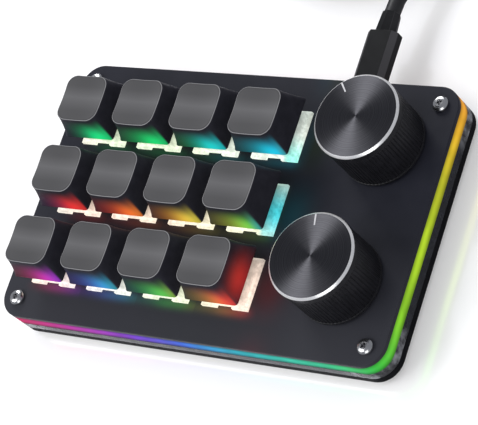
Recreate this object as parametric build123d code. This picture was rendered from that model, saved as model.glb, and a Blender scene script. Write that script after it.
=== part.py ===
from build123d import *
import math
import os

# Macro keypad: twelve keys, two push dials, a lit sandwich case and the USB lead that is plugged in.
# Lengths are in mm and angles in degrees. X runs to the right, Y to the back and Z up.
# The origin lies on the desk, under the middle of the case.
# Keys and dials hang from the deck, the upper face of the top plate, so their heights start there.

# Case, from the desk up
case_length = 131.5
case_depth = 83.0
case_corner_radius = 7.0
foot_height = 1.5
foot_width = 9.0
foot_inset = 14.0
bottom_plate_thickness = 3.2
bottom_edge_chamfer = 0.8
light_guide_height = 4.2
top_plate_thickness = 1.6
frame_wall = 6.0
cavity_corner_cut = 5.0

# Circuit board, and what is soldered to it
board_below_deck = 5.0
board_thickness = 1.6
room_below_board = 2.6
board_gap = 0.5
pin_tail = 1.5
slot_clearance = 0.1
chip_width = 7.0
chip_height = 1.2
chip_lead_length = 1.0
chip_lead_thickness = 0.3
diode_length = 2.7
diode_width = 1.6
diode_height = 1.1
diode_offset_x = 5.8
diode_offset_y = -1.0
key_led_width = 3.2
key_led_depth = 2.8
edge_led_length = 3.8
edge_led_depth = 1.5
edge_led_height = 1.9
edge_led_inset = 0.3

# Screws, and the posts that they go into
screw_inset = 5.6
screw_diameter = 2.4
thread_gap = 0.05
screw_hole_gap = 0.2
pan_head_diameter = 4.7
pan_head_height = 1.7
pan_head_sides = 12
pan_head_bevel = 0.7
screw_sides = 8
screw_reach = 5.2
post_sides = 6
post_width = 4.2
post_gap = 0.1

# Key block, set from the left edge of the case
key_columns = 4
key_rows = 3
key_margin_left = 16.9
key_pitch_x = 20.5
key_pitch_y = 22.8
key_travel = 4.0

# Key switch
switch_cutout = 14.0
switch_fit = 0.1
flange_width = 15.6
flange_thickness = 1.0
flange_notch_width = 5.0
flange_notch_depth = 0.8
lower_housing_wall = 1.0
lower_housing_floor = 1.0
peg_diameter = 4.0
peg_sides = 6
peg_fit = 0.05
peg_tail = 1.2
peg_floor = 0.9
pole_width = 1.7
pole_clearance = 0.2
pole_end_gap = 0.5
upper_housing_top = 6.6
upper_housing_top_width = 10.4
upper_housing_wall = 1.0
upper_housing_roof = 1.0
stem_length = 6.8
stem_width = 5.4
stem_opening_clearance = 0.3
stem_above_housing = 0.3
stem_collar_length = 8.4
stem_collar_width = 6.8
stem_collar_height = 0.9
stem_collar_gap = 0.1
cross_span = 4.0
cross_arm_x = 1.3
cross_arm_y = 1.1
cross_height = 3.3
led_offset_y = -4.7
led_window_width = 5.2
led_window_bottom = 3.6
led_window_bridge = 0.6
spring_outer_diameter = 4.0
spring_inner_diameter = 3.2
spring_sides = 6
spring_closed_height = 1.7
contact_thickness = 0.4
contact_leaf_width = 2.6
contact_leaf_gap = 0.2
contact_place_1 = (-4.0, 2.54)
contact_place_2 = (2.54, 5.3)

# Keycap
cap_base_width = 18.1
cap_waist_width = 15.8
cap_top_width = 14.6
cap_base_radius = 1.0
cap_waist_radius = 2.2
cap_top_radius = 3.6
cap_corner_facets = 3
cap_top_shift = 0.4
cap_height = 8.7
cap_dish_depth = 0.6
cap_crown = 0.6
cap_wall = 1.4
cap_roof = 1.6
cap_post_width = 5.5
cap_post_depth = 5.0
cap_rim_drop = 0.5
cross_fit = 0.03
cross_end_gap = 0.2

# Dials, each at a set distance from the nearest edge of the case.
# The share is how much of the free strip right of the keys lies left of the dials.
dial_margin_back = 19.1
dial_margin_front = 22.7
dial_gap_share = 0.66
dial_press = 0.5
knob_diameter = 25.6
knob_bottom_gap = 1.0
knob_height = 17.3
knob_rim_chamfer = 1.0
knob_rim_band = 1.4
knob_ribs = 40
knob_rib_depth = 0.45
knob_rim_overhang = 0.15
knob_rim_facets = 48
knob_roof = 2.0
knob_bushing_gap = 1.2
knob_cavity_diameter = 19.8
knob_flange_gap = 0.5
encoder_sides = 12
knob_hub_gap = 0.9
knob_bore_fit = 0.03
knob_bore_end_gap = 0.4
encoder_width = 12.0
encoder_floor = 1.0
encoder_flange_length = 13.2
encoder_flange_depth = 12.4
encoder_flange_thickness = 1.9
encoder_flange_top = 1.5
encoder_opening_gap = 0.2
encoder_leg_width = 2.0
encoder_leg_thickness = 0.5
encoder_terminal_width = 0.8
encoder_terminal_thickness = 0.4
encoder_terminal_height = 2.0
encoder_terminal_pitch = 2.5
bushing_diameter = 7.0
bushing_height = 5.0
bushing_fit = 0.05
shaft_diameter = 6.0
shaft_flat = 1.5
shaft_drive_width = 3.0
shaft_drive_fit = 0.05
rotor_diameter = 9.4
rotor_gap = 0.5
rotor_thickness = 2.6
rotor_end_gap = 0.1

# USB socket in the back wall, and the plug in it
usb_x = 33.1
nose_corner_cut = 0.3
socket_width = 8.94
socket_height = 3.2
socket_length = 7.35
socket_wall = 0.3
socket_back = 1.1
socket_recess = 0.2
socket_side_gap = 0.3
socket_tab_gap = 0.6
usb_wall = 2.8
tongue_width = 6.69
tongue_thickness = 0.7
tongue_length = 4.5
plug_width = 8.25
plug_height = 2.4
plug_wall = 0.25
plug_end_gap = 0.4
grip_width = 10.0
grip_height = 5.8
grip_length = 16.5
grip_corner_cut = 1.6
grip_gap = 0.4
relief_length = 6.5
relief_start_diameter = 6.4
relief_end_diameter = 5.6
relief_sides = 8

# USB plug at the far end of the lead
far_grip_width = 16.0
far_grip_height = 8.0
far_grip_length = 20.5
far_grip_corner_cut = 1.4
far_relief_length = 8.0
far_relief_start_diameter = 7.6
far_plug_width = 12.0
far_plug_height = 4.5
far_plug_length = 18.75
far_plug_wall = 0.3
far_window_size = 2.2
far_window_spacing = 6.0
far_window_from_end = 6.5
far_tongue_width = 11.1
far_tongue_thickness = 1.9
far_tongue_recess = 0.6

# The lead: its route in points chosen by hand, and its coil
cable_diameter = 4.8
cable_sides = 6
bend_share = 0.45
lead_route = [(33.1, 64.9, 10.5), (33.1, 78.0, 10.5), (52.5, 100.0, 2.4), (52.5, 120.2, 2.4)]
tail_route = [(-0.8, 173.5, 7.7), (-7.8, 173.5, 7.7), (-18.8, 173.5, 4.0), (-24.8, 173.5, 4.0)]
coil_centre = (4.0, 125.0)
coil_outer_radius = 48.5
coil_pitch = 5.3
coil_layer_pitch = 5.3
coil_turns = 3.25
coil_steps = 13
coil_look = 1 / 64

# Heights and plan sizes that follow from the sizes above
deck_z = foot_height + bottom_plate_thickness + room_below_board + board_thickness + board_below_deck
board_top = deck_z - board_below_deck
board_z = board_top - board_thickness
bottom_plate_z = foot_height
clear_frame_z = bottom_plate_z + bottom_plate_thickness
top_plate_z = deck_z - top_plate_thickness
light_guide_z = top_plate_z - light_guide_height
clear_frame_height = light_guide_z - clear_frame_z
inner_height = top_plate_z - clear_frame_z
post_corner_radius = post_width / math.sqrt(3)
cavity_length = case_length - 2 * frame_wall
cavity_depth = case_depth - 2 * frame_wall
back_face = case_depth / 2
usb_z = board_top + socket_height / 2
first_column_x = key_margin_left - case_length / 2
column_xs = [first_column_x + column * key_pitch_x for column in range(key_columns)]
cap_block_end = column_xs[-1] + cap_base_width / 2
dial_strip = case_length / 2 - cap_block_end - knob_diameter
dial_x = cap_block_end + knob_diameter / 2 + dial_gap_share * dial_strip
chip_x = (column_xs[-1] + dial_x) / 2

row_ys = [(row - (key_rows - 1) / 2) * key_pitch_y for row in range(key_rows)]
key_places = [(x, y) for y in row_ys for x in column_xs]
dial_places = {
    "back": (dial_x, case_depth / 2 - dial_margin_back),
    "front": (dial_x, dial_margin_front - case_depth / 2),
}
corner_signs = [(-1, -1), (1, -1), (1, 1), (-1, 1)]
screw_places = [
    (sx * (case_length / 2 - screw_inset), sy * (case_depth / 2 - screw_inset))
    for sx, sy in corner_signs
]
foot_places = [
    (sx * (case_length / 2 - foot_inset), sy * (case_depth / 2 - foot_inset))
    for sx, sy in corner_signs
]

STANDING = (Align.CENTER, Align.CENTER, Align.MIN)


def box_at(length, depth, height, x=0.0, y=0.0, z=0.0):
    """A box whose base is centred on the given point."""
    return Pos(x, y, z) * Box(length, depth, height, align=STANDING)


def rod_at(diameter, height, x=0.0, y=0.0, z=0.0):
    """An upright cylinder whose base is centred on the given point."""
    return Pos(x, y, z) * Cylinder(diameter / 2, height, align=STANDING)


def bar_at(radius, sides, height, x=0.0, y=0.0, z=0.0):
    """An upright bar with flat sides, measured from its middle to its corners."""
    return extrude(Pos(x, y, z) * RegularPolygon(radius, sides), height)


def slab(length, depth, corner_radius, thickness, z):
    """A flat plate with rounded corners."""
    return extrude(Pos(0, 0, z) * RectangleRounded(length, depth, corner_radius), thickness)


def cut_corner_slab(length, depth, corner_cut, thickness, z):
    """A flat plate with its corners cut off straight."""
    outline = chamfer(Rectangle(length, depth).vertices(), corner_cut)
    return extrude(Pos(0, 0, z) * outline, thickness)


def pyramid(base_width, top_width, height, z):
    """The lower part of a square pyramid, its base centred over the origin."""
    slope = math.degrees(math.atan((base_width - top_width) / 2 / height))
    return extrude(Pos(0, 0, z) * Rectangle(base_width, base_width), height, taper=slope)


def cross_at(span, arm_x, arm_y, height, z):
    """A plus-shaped bar: arm_x is the thickness of the arm along X, arm_y that of the arm along Y."""
    return box_at(span, arm_x, height, z=z) + box_at(arm_y, span, height, z=z)


def at_places(shape, places, z=0.0):
    """Copies of one shape, moved to each place in the plan."""
    return [Pos(x, y, z) * shape for x, y in places]


def keep(name, *shapes):
    """Write one node as a STEP file of its separate solids."""
    solids = [solid for shape in shapes for solid in shape.solids()]
    export_step(Compound(solids), f"parts/{name}.step")


def flat_sided(sections):
    """A solid with a flat face between each pair of matching edges of its sections."""
    outlines = [sections[0], sections[-1]]
    for lower, upper in zip(sections, sections[1:]):
        for corner in range(len(lower)):
            outlines.append([lower[corner - 1], lower[corner], upper[corner], upper[corner - 1]])
    return Solid(Shell([Face(Wire.make_polygon(outline)) for outline in outlines]))


# Case

def bottom_plate():
    """Moulded base with a bevelled lower edge and four hexagonal posts that take the screws."""
    plate = slab(case_length, case_depth, case_corner_radius, bottom_plate_thickness, bottom_plate_z)
    lower_edges = plate.faces().sort_by(Axis.Z)[0].outer_wire().edges()
    plate = chamfer(lower_edges, bottom_edge_chamfer)
    post = bar_at(post_corner_radius, post_sides, inner_height)
    bore = bar_at(screw_diameter / 2 + thread_gap, screw_sides, inner_height)
    return plate + at_places(post - bore, screw_places, clear_frame_z)


def frame(z, height):
    """One ring of the sandwich, with holes for the posts and room for the socket's end of the board."""
    ring = slab(case_length, case_depth, case_corner_radius, height, z)
    ring -= cut_corner_slab(cavity_length, cavity_depth, cavity_corner_cut, height, z)
    ring -= at_places(bar_at(post_corner_radius + post_gap, post_sides, height), screw_places, z)
    return ring - socket_pocket(height, z)


def socket_pocket(height, z):
    """Room in the back wall for the board's tab."""
    inner_edge = cavity_depth / 2
    outer_edge = back_face - usb_wall
    width = socket_width + 2 * (socket_tab_gap + board_gap)
    middle_y = (inner_edge + outer_edge - frame_wall) / 2
    return box_at(width, outer_edge - inner_edge + frame_wall, height, usb_x, middle_y, z)


def light_guide():
    """The lit ring is cut right through where the socket looks out of it."""
    mouth_width = socket_width + 2 * socket_side_gap
    mouth = box_at(mouth_width, 2 * frame_wall, light_guide_height, usb_x, back_face, light_guide_z)
    return frame(light_guide_z, light_guide_height) - mouth


def top_plate():
    plate = slab(case_length, case_depth, case_corner_radius, top_plate_thickness, top_plate_z)
    key_hole = box_at(switch_cutout, switch_cutout, top_plate_thickness)
    dial_hole = box_at(
        encoder_flange_length + 2 * encoder_opening_gap,
        encoder_flange_length + 2 * encoder_opening_gap,
        top_plate_thickness,
    )
    screw_hole = bar_at(screw_diameter / 2 + screw_hole_gap, screw_sides, top_plate_thickness)
    plate -= at_places(key_hole, key_places, top_plate_z)
    plate -= at_places(dial_hole, dial_places.values(), top_plate_z)
    return plate - at_places(screw_hole, screw_places, top_plate_z)


def top_screw():
    """Pan-head screw, its head standing on the deck."""
    head = bar_at(pan_head_diameter / 2, pan_head_sides, pan_head_height)
    head = chamfer(head.faces().sort_by(Axis.Z)[-1].edges(), pan_head_bevel)
    shank_length = top_plate_thickness + screw_reach
    return head + bar_at(screw_diameter / 2, screw_sides, shank_length, z=-shank_length)


# Circuit board

def board():
    length = cavity_length - 2 * board_gap
    plate = cut_corner_slab(length, cavity_depth - 2 * board_gap, cavity_corner_cut, board_thickness, board_z)
    tab_width = socket_width + 2 * socket_tab_gap
    tab_end = back_face - usb_wall - board_gap
    tab_start = tab_end - frame_wall - socket_length
    tab_middle = (tab_start + tab_end) / 2
    plate += box_at(tab_width, tab_end - tab_start, board_thickness, usb_x, tab_middle, board_z)
    plate -= at_places(switch_board_holes(), key_places, board_z)
    return plate - at_places(encoder_board_holes(), dial_places.values(), board_z)


def pin_slot(x_size, y_size, place):
    """A slot in the board round one flat pin."""
    clearance = 2 * slot_clearance
    return box_at(x_size + clearance, y_size + clearance, board_thickness, *place)


def switch_board_holes():
    peg_hole = bar_at(peg_diameter / 2 + peg_fit, peg_sides, board_thickness)
    return peg_hole + pin_slot(key_led_width, key_led_depth, (0, led_offset_y))


def encoder_board_holes():
    left, right = encoder_leg_xs()
    left_slot = pin_slot(encoder_leg_thickness, encoder_leg_width, (left, 0))
    return left_slot + pin_slot(encoder_leg_thickness, encoder_leg_width, (right, 0))


def key_led():
    """A light that hangs in a slot in the board and shines up through the switch."""
    return box_at(key_led_width, key_led_depth, board_thickness - slot_clearance, y=led_offset_y, z=board_z)


def edge_led():
    """A side light that faces +Y, close to the light guide."""
    return box_at(edge_led_length, edge_led_depth, edge_led_height)


def edge_leds():
    """Lights along all four walls: between the columns and rows of switches, and beside the dials."""
    centre_inset = frame_wall + board_gap + edge_led_inset + edge_led_depth / 2
    y = case_depth / 2 - centre_inset
    x = case_length / 2 - centre_inset
    along = [(left + right) / 2 for left, right in zip(column_xs, column_xs[1:])] + [dial_x]
    lights = [Pos(place, y, board_top) * edge_led() for place in along]
    lights += [Pos(place, -y, board_top) * Rot(0, 0, 180) * edge_led() for place in along]
    for side in [(front + back) / 2 for front, back in zip(row_ys, row_ys[1:])]:
        lights.append(Pos(x, side, board_top) * Rot(0, 0, -90) * edge_led())
        lights.append(Pos(-x, side, board_top) * Rot(0, 0, 90) * edge_led())
    return lights


def controller_chip():
    """A square chip with a row of leads on each side, under the board."""
    span = chip_width + 2 * chip_lead_length
    lead_row = chip_width - chip_lead_length
    leads_z = board_z - chip_lead_thickness
    chip = box_at(chip_width, chip_width, chip_height, chip_x, 0, board_z - chip_height)
    chip += box_at(span, lead_row, chip_lead_thickness, chip_x, 0, leads_z)
    return chip + box_at(lead_row, span, chip_lead_thickness, chip_x, 0, leads_z)


def diode():
    diode_z = board_z - diode_height
    return box_at(diode_width, diode_length, diode_height, diode_offset_x, diode_offset_y, diode_z)


# Key switches, measured from the deck at the middle of a key

housing_floor_z = -board_below_deck + lower_housing_floor
peg_end_z = -board_below_deck - board_thickness - peg_tail
pole_hole_z = peg_end_z + peg_floor
housing_cavity_width = switch_cutout - 2 * (switch_fit + lower_housing_wall)
stem_top_z = upper_housing_top + stem_above_housing
stem_bottom_z = housing_floor_z + key_travel + spring_closed_height
collar_z = upper_housing_top - upper_housing_roof - stem_collar_gap - stem_collar_height
cap_rim_z = stem_top_z + cap_rim_drop


def lower_housing():
    """The half that sits in the top plate: flange, box, and a peg in the board with the pole's hole."""
    body_width = switch_cutout - 2 * switch_fit
    body = box_at(body_width, body_width, board_below_deck, z=-board_below_deck)
    flange = box_at(flange_width, flange_width, flange_thickness)
    notch = box_at(flange_notch_width, 2 * flange_notch_depth, flange_thickness)
    flange -= at_places(notch, [(0, -flange_width / 2), (0, flange_width / 2)])
    body += flange
    body += bar_at(peg_diameter / 2, peg_sides, -board_below_deck - peg_end_z, z=peg_end_z)
    cavity_height = flange_thickness - housing_floor_z
    body -= box_at(housing_cavity_width, housing_cavity_width, cavity_height, z=housing_floor_z)
    pole_hole = pole_width + 2 * pole_clearance
    return body - box_at(pole_hole, pole_hole, housing_floor_z - pole_hole_z, z=pole_hole_z)


def upper_housing():
    """The tapered half that stands on the flange, open for the stem and for the light."""
    base_width = switch_cutout
    base_z = flange_thickness
    roof_z = upper_housing_top - upper_housing_roof
    walls = 2 * upper_housing_wall
    outer = pyramid(base_width, upper_housing_top_width, upper_housing_top - base_z, base_z)
    inner = pyramid(base_width - walls, upper_housing_top_width - walls, roof_z - base_z, base_z)
    opening_depth = max(stem_width, cap_post_depth) + 2 * stem_opening_clearance
    opening_length = stem_length + 2 * stem_opening_clearance
    opening = box_at(opening_length, opening_depth, upper_housing_roof, z=roof_z)
    window_back = -opening_depth / 2 - led_window_bridge
    window = box_at(
        led_window_width,
        base_width,
        upper_housing_top,
        y=window_back - base_width / 2,
        z=led_window_bottom,
    )
    return outer - inner - opening - window


def contacts():
    """Two sprung leaves that stand beside the stem, clear of its collar."""
    height = collar_z - key_travel - contact_leaf_gap - housing_floor_z
    side_x, side_y = contact_place_1
    back_x, back_y = contact_place_2
    return [
        box_at(contact_thickness, contact_leaf_width, height, side_x, side_y, housing_floor_z),
        box_at(contact_leaf_width, contact_thickness, height, back_x, back_y, housing_floor_z),
    ]


def spring():
    """The coil spring under the stem, as the plain sleeve that its wire fills."""
    height = stem_bottom_z - housing_floor_z
    outer = bar_at(spring_outer_diameter / 2, spring_sides, height, z=housing_floor_z)
    return outer - bar_at(spring_inner_diameter / 2, spring_sides, height, z=housing_floor_z)


def stem():
    """The slider: pole, block, stop collar and the cross that carries the keycap."""
    pole_tip_z = pole_hole_z + pole_end_gap + key_travel
    slider = box_at(stem_length, stem_width, stem_top_z - stem_bottom_z, z=stem_bottom_z)
    slider += box_at(stem_collar_length, stem_collar_width, stem_collar_height, z=collar_z)
    slider += box_at(pole_width, pole_width, stem_bottom_z - pole_tip_z, z=pole_tip_z)
    return slider + cross_at(cross_span, cross_arm_x, cross_arm_y, cross_height, stem_top_z)


def cap_section(width, corner_radius, z, forward=0.0):
    """Corners of one level section of the cap, each round corner as a few straight facets."""
    points = []
    for quarter in range(4):
        for facet in range(cap_corner_facets + 1):
            angle = math.pi / 2 * (quarter + facet / cap_corner_facets)
            middle = math.pi / 2 * (quarter + 0.5)
            reach = (width / 2 - corner_radius) * math.sqrt(2)
            x = reach * math.cos(middle) + corner_radius * math.cos(angle)
            y = reach * math.sin(middle) + corner_radius * math.sin(angle) - forward
            points.append((x, y, z))
    return points


def keycap():
    """Flared cap: sides lean in from a square rim to a round-cornered, dished top, set forward."""
    dish_bottom_z = cap_rim_z + cap_height
    top_z = dish_bottom_z + cap_dish_depth + cap_crown
    cap = flat_sided([
        cap_section(cap_base_width, cap_base_radius, cap_rim_z),
        cap_section(cap_waist_width, cap_waist_radius, (cap_rim_z + top_z) / 2, cap_top_shift / 2),
        cap_section(cap_top_width, cap_top_radius, top_z, cap_top_shift),
    ])
    half_top = cap_top_width / 2
    dish_radius = (half_top**2 + cap_dish_depth**2) / (2 * cap_dish_depth)
    dish = Rot(0, 90, 0) * Cylinder(dish_radius, cap_base_width)
    cap -= Pos(0, -cap_top_shift, dish_bottom_z + dish_radius) * dish
    roof_z = dish_bottom_z - cap_roof
    cap -= pyramid(cap_base_width - 2 * cap_wall, cap_top_width - 2 * cap_wall, roof_z - cap_rim_z, cap_rim_z)
    cap += box_at(cap_post_width, cap_post_depth, roof_z - stem_top_z, z=stem_top_z)
    slot_height = cross_height + cross_end_gap
    fit = 2 * cross_fit
    return cap - cross_at(cross_span + fit, cross_arm_x + fit, cross_arm_y + fit, slot_height, stem_top_z)


# Dials, measured from the deck at the middle of a dial

encoder_height = board_below_deck + encoder_flange_top - encoder_flange_thickness
encoder_top_z = encoder_height - board_below_deck
rotor_z = -board_below_deck + encoder_floor + rotor_end_gap
bushing_top_z = encoder_flange_top + bushing_height
hub_z = bushing_top_z + knob_hub_gap
knob_top_z = knob_bottom_gap + knob_height
shaft_bottom_z = encoder_top_z + dial_press + rotor_end_gap
shaft_top_z = knob_top_z - knob_roof - knob_bore_end_gap


def encoder_leg_xs():
    """The clip legs hug the two sides of the body, at the ends of the flange."""
    x = encoder_flange_length / 2 - encoder_leg_thickness / 2
    return [-x, x]


def terminal_places():
    """Three terminals at the front of an encoder for turning, two at its back for pressing."""
    y = encoder_width / 2 + encoder_terminal_thickness / 2
    front = [(step * encoder_terminal_pitch, -y) for step in (-1, 0, 1)]
    back = [(step * encoder_terminal_pitch, y) for step in (-1, 1)]
    return front + back


def encoder_body():
    """The moulded cup that holds the rotor."""
    cup = box_at(encoder_width, encoder_width, encoder_height, z=-board_below_deck)
    cavity_diameter = rotor_diameter + 2 * rotor_gap
    cavity_z = -board_below_deck + encoder_floor
    return cup - bar_at(cavity_diameter / 2, encoder_sides, encoder_top_z - cavity_z, z=cavity_z)


def encoder_bushing():
    """The cast lid of an encoder, with its round guide for the shaft and two legs through the board."""
    lid = box_at(encoder_flange_length, encoder_flange_depth, encoder_flange_thickness, z=encoder_top_z)
    lid += bar_at(bushing_diameter / 2, encoder_sides, bushing_height, z=encoder_flange_top)
    leg_end = -board_below_deck - board_thickness - pin_tail
    for x in encoder_leg_xs():
        lid += box_at(encoder_leg_thickness, encoder_leg_width, encoder_top_z - leg_end, x, 0, leg_end)
    bore = rod_at(shaft_diameter + 2 * bushing_fit, bushing_top_z - encoder_top_z, z=encoder_top_z)
    return lid - bore


def encoder_terminals():
    """Flat terminals against the body, soldered on top of the board."""
    size = (encoder_terminal_width, encoder_terminal_thickness, encoder_terminal_height)
    strip = box_at(*size, z=-board_below_deck)
    return at_places(strip, terminal_places())


def encoder_rotor():
    """The disc that clicks round in the cup, with a square hole for the shaft's tang."""
    hole_width = shaft_drive_width + 2 * shaft_drive_fit
    rotor = bar_at(rotor_diameter / 2, encoder_sides, rotor_thickness, z=rotor_z)
    return rotor - box_at(hole_width, hole_width, rotor_thickness, z=rotor_z)


def encoder_shaft():
    """Round shaft, flattened in the knob, with a square tang that slides down in the rotor."""
    tang_z = rotor_z + dial_press + rotor_end_gap
    shaft = rod_at(shaft_diameter, shaft_top_z - shaft_bottom_z, z=shaft_bottom_z)
    shaft += box_at(shaft_drive_width, shaft_drive_width, shaft_bottom_z - tang_z, z=tang_z)
    return shaft - flat_cutter(shaft_diameter, shaft_top_z - hub_z, hub_z)


def flat_cutter(diameter, height, z):
    """What the flat takes off a round shaft, on its +X side."""
    depth = diameter / 2 - shaft_flat
    return box_at(depth, diameter, height, shaft_flat + depth / 2, 0, z)


def ribbed_outline():
    """Outline of the grip: a ridge and a groove for each rib, worked out round the circle."""
    ridge = knob_diameter / 2 - knob_rim_overhang
    points = []
    for corner in range(2 * knob_ribs):
        radius = ridge - knob_rib_depth * (corner % 2)
        angle = math.pi * corner / knob_ribs
        points.append((radius * math.cos(angle), radius * math.sin(angle)))
    return make_face(Polyline(*points, close=True))


def knob():
    """Metal knob: a bevelled rim in facets over a ribbed grip, hollow for the encoder's lid and shaft."""
    rim_z = knob_top_z - knob_rim_band
    rim = bar_at(knob_diameter / 2, knob_rim_facets, knob_rim_band, z=rim_z)
    shape = chamfer(rim.faces().sort_by(Axis.Z)[-1].edges(), knob_rim_chamfer)
    shape += extrude(Pos(0, 0, knob_bottom_gap) * ribbed_outline(), rim_z - knob_bottom_gap)
    cavity_height = encoder_flange_top + dial_press + knob_flange_gap - knob_bottom_gap
    shape -= bar_at(knob_cavity_diameter / 2, encoder_sides, cavity_height, z=knob_bottom_gap)
    recess_radius = bushing_diameter / 2 + knob_bushing_gap
    shape -= bar_at(recess_radius, encoder_sides, hub_z - knob_bottom_gap, z=knob_bottom_gap)
    bore_height = shaft_top_z + knob_bore_end_gap - hub_z
    bore = rod_at(shaft_diameter + 2 * knob_bore_fit, bore_height, z=hub_z)
    bore -= Pos(knob_bore_fit, 0, 0) * flat_cutter(shaft_diameter + 2 * knob_bore_fit, bore_height, hub_z)
    return shape - bore


# USB socket and plugs

def cut_corner_bar(width, height, corner_cut, length):
    """A bar along +Y from the origin, with its four long edges cut off."""
    outline = chamfer(Rectangle(width, height).vertices(), corner_cut)
    return extrude(Plane.XZ * outline, -length)


def nose_bar(width, height, length):
    """A bar along +Y whose sides are nearly round in section, as three flat strips each."""
    return cut_corner_bar(width, height, nose_corner_cut * height, length)


def usb_socket():
    """Folded steel shell of the socket, closed at its back."""
    mouth_y = back_face - socket_recess
    shell = nose_bar(socket_width, socket_height, socket_length)
    inner_width = socket_width - 2 * socket_wall
    inner_height = socket_height - 2 * socket_wall
    shell -= Pos(0, socket_back, 0) * nose_bar(inner_width, inner_height, socket_length)
    return Pos(usb_x, mouth_y - socket_length, usb_z) * shell


def usb_socket_tongue():
    """The contact board in the middle of the socket."""
    middle_y = back_face - socket_recess - socket_length + socket_back + tongue_length / 2
    z = usb_z - tongue_thickness / 2
    return box_at(tongue_width, tongue_length, tongue_thickness, usb_x, middle_y, z)


def usb_plug_shell():
    """Steel nose of the plug, pushed home in the socket."""
    tip_y = back_face - socket_recess - socket_length + socket_back + plug_end_gap
    end_y = back_face + grip_gap
    length = end_y - tip_y
    inner_height = plug_height - 2 * plug_wall
    shell = nose_bar(plug_width, plug_height, length)
    shell -= nose_bar(plug_width - 2 * plug_wall, inner_height, length)
    return Pos(usb_x, tip_y, usb_z) * shell


def strain_relief(start_diameter, length):
    """A flat-sided sleeve that narrows towards the cable, along +Y from the origin."""
    sections = []
    for y, diameter in ((0, start_diameter), (length, relief_end_diameter)):
        angles = [2 * math.pi * side / relief_sides for side in range(relief_sides)]
        radius = diameter / 2
        sections.append([(radius * math.cos(angle), y, radius * math.sin(angle)) for angle in angles])
    return flat_sided(sections)


def usb_plug_grip():
    """Moulded grip and its tapered strain relief."""
    grip = cut_corner_bar(grip_width, grip_height, grip_corner_cut, grip_length)
    grip += Pos(0, grip_length, 0) * strain_relief(relief_start_diameter, relief_length)
    return Pos(usb_x, back_face + grip_gap, usb_z) * grip


def at_far_end(shape):
    """Turns a shape that was built along +Y so that it runs on along -X from the end of the tail."""
    return Pos(*tail_route[-1]) * Rot(0, 0, 90) * shape


def far_grip():
    """Strain relief and moulded grip at the far end of the lead."""
    relief = strain_relief(far_relief_start_diameter, far_relief_length)
    body = cut_corner_bar(far_grip_width, far_grip_height, far_grip_corner_cut, far_grip_length)
    return at_far_end(Pos(0, far_relief_length, 0) * (Rot(0, 0, 180) * relief + body))


def far_shell():
    """Steel nose of the flat plug, with its two pairs of square windows."""
    shell = Plane.XZ * Rectangle(far_plug_width, far_plug_height)
    inner_width = far_plug_width - 2 * far_plug_wall
    inner_height = far_plug_height - 2 * far_plug_wall
    shell = extrude(shell, -far_plug_length)
    shell -= extrude(Plane.XZ * Rectangle(inner_width, inner_height), -far_plug_length)
    window_y = far_plug_length - far_window_from_end
    window = box_at(far_window_size, far_window_size, 2 * far_plug_height, z=-far_plug_height)
    half = far_window_spacing / 2
    shell -= at_places(window, [(-half, window_y), (half, window_y)])
    return at_far_end(Pos(0, far_relief_length + far_grip_length, 0) * shell)


def far_tongue():
    """Plastic carrier of the contacts, on the floor of the steel nose."""
    floor_z = far_plug_wall - far_plug_height / 2
    length = far_plug_length - far_tongue_recess
    tongue = box_at(far_tongue_width, length, far_tongue_thickness, y=length / 2, z=floor_z)
    return at_far_end(Pos(0, far_relief_length + far_grip_length, 0) * tongue)


# The lead

def route_tube(name, points):
    """A tube along straight runs joined by arcs, each arc as large as its two runs allow."""
    vectors = [Vector(*point) for point in points]
    runs = [after - before for before, after in zip(vectors, vectors[1:])]
    radii = []
    for run, next_run in zip(runs, runs[1:]):
        half_turn = math.radians(run.get_angle(next_run)) / 2
        radii.append(bend_share * min(run.length, next_run.length) / math.tan(half_turn))
    path = FilletPolyline(*points, radius=radii)
    tube = sweep(Plane(points[0], z_dir=runs[0]) * cable_outline(), path=path)
    print(name, "arc radii", [round(radius, 1) for radius in radii], "length", round(path.length, 1))
    fullness = tube.volume / (cable_outline().area * path.length)
    print(name, "volume over section and length", round(fullness, 4))
    return tube, path.length


def cable_outline():
    """Section of the cable, with flat sides so that its long coil stays light."""
    return RegularPolygon(cable_diameter / 2, cable_sides)


def coil_point(turn):
    """Place on the coil after so many turns: in along the lower layer, then out along the upper one."""
    middle = coil_turns / 2
    radius = coil_outer_radius - coil_pitch * (middle - abs(turn - middle))
    climb = min(max((turn - middle) * 2 + 0.5, 0), 1)
    height = cable_diameter / 2 + coil_layer_pitch * (1 - math.cos(math.pi * climb)) / 2
    angle = 2 * math.pi * turn
    x = coil_centre[0] + radius * math.cos(angle)
    y = coil_centre[1] + radius * math.sin(angle)
    return Vector(x, y, height)


def coil_direction(turn):
    """Direction of the wire there. At both ends it is square to the coil's radius."""
    angle = 2 * math.pi * turn
    if turn in (0, coil_turns):
        return Vector(-math.sin(angle), math.cos(angle), 0)
    return (coil_point(turn + coil_look) - coil_point(turn - coil_look)).normalized()


def biarc(start, start_direction, end, end_direction):
    """Two arcs that leave and arrive in the given directions and share a tangent where they meet."""
    chord = end - start
    along = chord.dot(start_direction + end_direction)
    spread = 2 * (1 - start_direction.dot(end_direction))
    reach = (math.sqrt(along**2 + spread * chord.dot(chord)) - along) / spread
    joint = (start + end + (start_direction - end_direction) * reach) / 2
    joint_direction = end - start - (start_direction + end_direction) * reach
    return [
        TangentArc(start, joint, tangent=start_direction),
        TangentArc(joint, end, tangent=joint_direction),
    ]


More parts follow.
